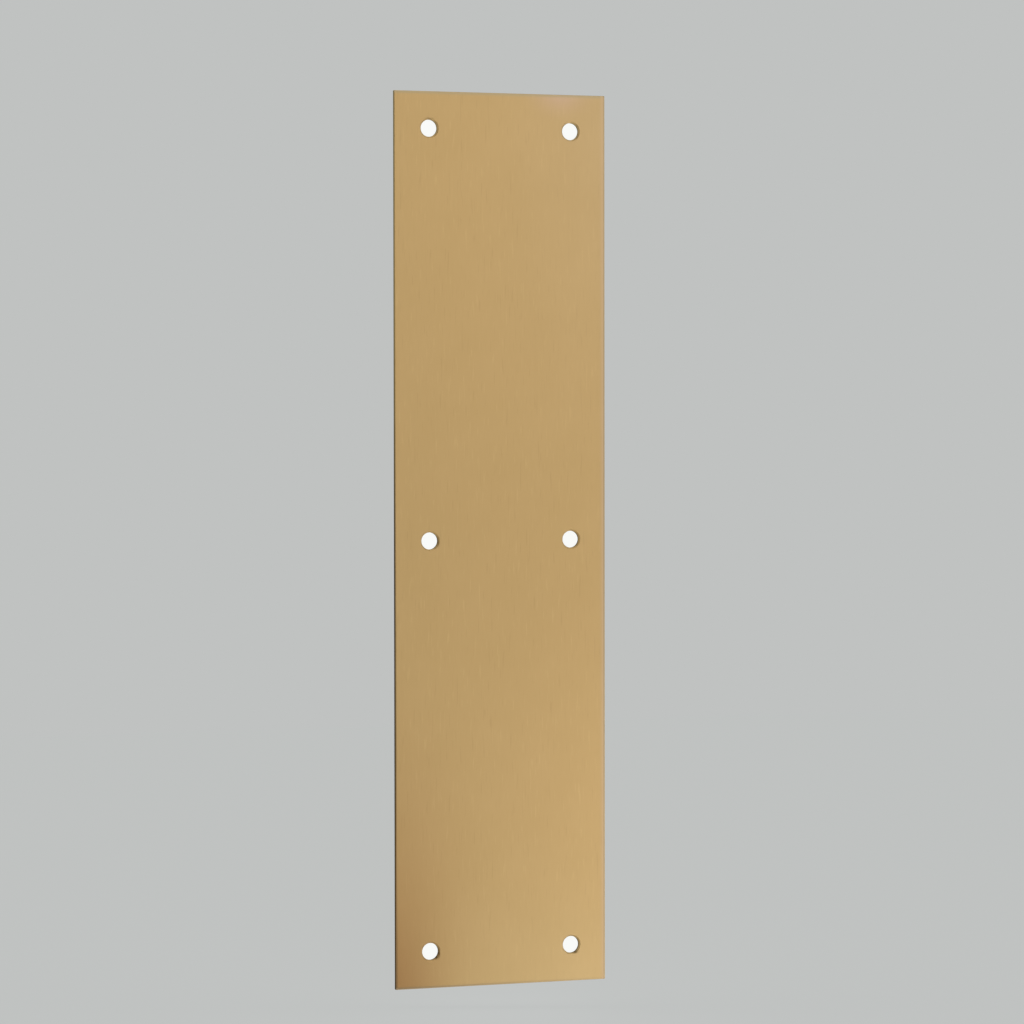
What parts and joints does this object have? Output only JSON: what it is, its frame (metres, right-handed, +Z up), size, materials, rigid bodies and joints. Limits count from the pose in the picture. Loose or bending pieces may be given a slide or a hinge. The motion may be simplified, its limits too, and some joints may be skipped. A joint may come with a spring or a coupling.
{
  "type": "door finger plate",
  "caption": "Flat upright brushed brass plate with countersunk screw holes near its edges, screwed to a door to keep hands off the paint where it is pushed.",
  "frame": {"origin": "centre of the flat back, on the door's surface", "axes": "+Z up along the plate's height, +X to the right across its width as seen from the front, -Y out of the door towards the hand, so that the back faces +Y"},
  "size_m": [0.076, 0.0012, 0.305],
  "materials": {
    "brushed_brass": "satin, brushed along the height"
  },
  "bodies": {
    "root": {"finger_plate": "brushed_brass"}
  },
  "joints": []
}
